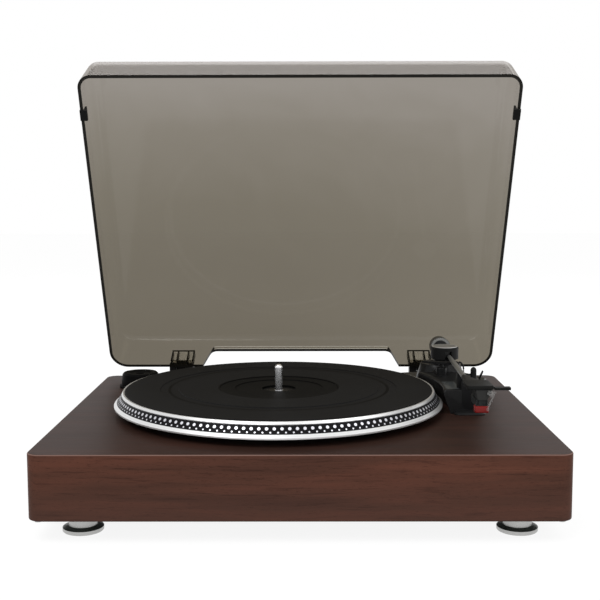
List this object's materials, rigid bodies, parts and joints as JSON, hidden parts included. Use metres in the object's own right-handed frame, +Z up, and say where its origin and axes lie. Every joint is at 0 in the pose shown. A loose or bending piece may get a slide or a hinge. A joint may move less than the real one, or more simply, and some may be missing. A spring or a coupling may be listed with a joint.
{
  "type": "turntable",
  "caption": "Belt driven turntable on a wooden plinth with a strobe rim platter, tonearm, cueing lift and an open smoked dust cover.",
  "frame": {"origin": "on the spindle axis at the level of the mat top, where a record's underside rests", "axes": "+X to the right seen from the front, +Y to the rear, +Z up along the spindle"},
  "size_m": [0.42, 0.3694, 0.3929],
  "materials": {
    "walnut": "satin lacquer",
    "panel_black": "fine grain",
    "foot_metal": "turned",
    "pad_rubber": "matt",
    "platter_metal": "cast and turned, black painted rim band",
    "mat_rubber": "matt",
    "spindle_chrome": "polished",
    "bearing_brass": "turned",
    "steel": "plain",
    "smoked_cover": "polished, clear and tinted",
    "black_gloss": "glossy moulding",
    "black_matte": "fine grain",
    "drum_black": "glossy, brushed top",
    "tube_metal": "satin",
    "weight_metal": "satin black",
    "dial_grey": "satin with plain numbers",
    "stylus_red": "moulded",
    "clear_plastic": "clear",
    "belt_rubber": "matt",
    "board_green": "solder resist",
    "motor_metal": "zinc plated",
    "hinge_black": "satin",
    "socket_metal": "plated"
  },
  "bodies": {
    "plinth": {"plinth_case": "walnut", "bottom_panel": "panel_black", "bottom_screws": "steel", "foot_front_left": "foot_metal", "foot_front_right": "foot_metal", "foot_rear_left": "foot_metal", "foot_rear_right": "foot_metal", "foot_pads": "pad_rubber", "foot_bolts": "steel", "bearing_housing": "motor_metal", "bearing_bush": "bearing_brass", "thrust_ball": "steel", "motor_plate": "motor_metal", "motor_can": "motor_metal", "drive_belt": "belt_rubber", "top_screws": "steel", "hinge_base_left": "hinge_black", "hinge_base_right": "hinge_black", "hinge_pins": "steel", "hinge_screws": "steel", "adapter_peg": "black_matte", "arm_base": "black_gloss", "arm_bush": "motor_metal", "arm_nut": "steel", "lever_pin": "steel", "arm_rest": "black_matte", "socket_panel": "black_matte", "phono_sockets": "socket_metal", "ground_post": "socket_metal", "power_socket": "black_matte", "switch_frame": "black_matte", "circuit_board": "board_green", "board_posts": "panel_black"},
    "platter_body": {"platter": "platter_metal", "platter_mat": "mat_rubber", "spindle": "spindle_chrome"},
    "pulley": {"motor_pulley": "bearing_brass"},
    "cover": {"dust_cover": "smoked_cover", "lid_bumpers": "pad_rubber", "hinge_leaf_left": "hinge_black", "hinge_leaf_right": "hinge_black"},
    "yoke": {"arm_yoke": "drum_black", "pitch_pins": "steel"},
    "arm": {"arm_gimbal": "tube_metal", "arm_tube": "tube_metal", "head_shell": "black_matte", "cartridge": "black_gloss", "stylus_holder": "stylus_red", "needle": "steel", "finger_lift": "black_matte", "guard_pin": "steel"},
    "weight": {"counterweight": "weight_metal"},
    "dial": {"force_dial": "dial_grey"},
    "guard": {"stylus_guard": "clear_plastic"},
    "lift": {"lift_platform": "black_matte"},
    "lever": {"cue_lever": "black_matte"},
    "clip": {"arm_clip": "black_matte"},
    "adapter": {"record_adapter": "black_matte"},
    "switch": {"power_switch": "black_matte"}
  },
  "joints": [
    {"name": "platter_spin", "type": "hinge", "parent": "plinth", "child": "platter_body", "pos_m": [0, 0, -0.02], "axis": [0, 0, -1], "continuous": true},
    {"name": "pulley_spin", "type": "hinge", "parent": "plinth", "child": "pulley", "pos_m": [-0.09116, 0.07649, -0.02], "axis": [0, 0, -1], "continuous": true},
    {"name": "cover_hinge", "type": "hinge", "parent": "plinth", "child": "cover", "pos_m": [0.02, 0.1665, -0.00995], "axis": [1, 0, 0], "range_deg": [0, 64.8]},
    {"name": "arm_swing", "type": "hinge", "parent": "plinth", "child": "yoke", "pos_m": [0.1642, 0.083, 0.0128], "axis": [0, 0, -1], "range_deg": [0, 47]},
    {"name": "arm_pitch", "type": "hinge", "parent": "yoke", "child": "arm", "pos_m": [0.1642, 0.083, 0.0178], "axis": [-1, 0, 0], "range_deg": [0, 2.05]},
    {"name": "weight_slide", "type": "slide", "parent": "arm", "child": "weight", "axis": [0, 1, 0], "range_m": [-0.01, 0.004]},
    {"name": "dial_turn", "type": "hinge", "parent": "weight", "child": "dial", "pos_m": [0.1642, 0.1157, 0.019], "axis": [0, 1, 0], "range_deg": [0, 270]},
    {"name": "guard_flip", "type": "hinge", "parent": "arm", "child": "guard", "pos_m": [0.1724, -0.1214, 0.0179], "axis": [0, -1, 0], "range_deg": [0, 60]},
    {"name": "cue_lever_turn", "type": "hinge", "parent": "plinth", "child": "lever", "pos_m": [0.1876, 0.036, 0], "axis": [-1, 0, 0], "range_deg": [0, 46]},
    {"name": "lift_rise", "type": "slide", "parent": "plinth", "child": "lift", "axis": [0, 0, 1], "range_m": [0, 0.0012]},
    {"name": "clip_turn", "type": "hinge", "parent": "plinth", "child": "clip", "pos_m": [0.176, -0.016, 0.015], "axis": [0, 0, -1], "range_deg": [0, 90]},
    {"name": "adapter_lift", "type": "slide", "parent": "plinth", "child": "adapter", "axis": [0, 0, 1], "range_m": [0, 0.012]},
    {"name": "switch_rock", "type": "hinge", "parent": "plinth", "child": "switch", "pos_m": [0.02, 0.1656, -0.046], "axis": [-1, 0, 0], "range_deg": [0, 12]}
  ],
  "couplings": [
    {"joint": "pulley_spin", "follows": "platter_spin", "ratio": 16.833},
    {"joint": "cue_lever_turn", "follows": "lift_rise", "rad_per_m": 654.5},
    {"joint": "arm_pitch", "follows": "lift_rise", "rad_per_m": 29.08}
  ]
}
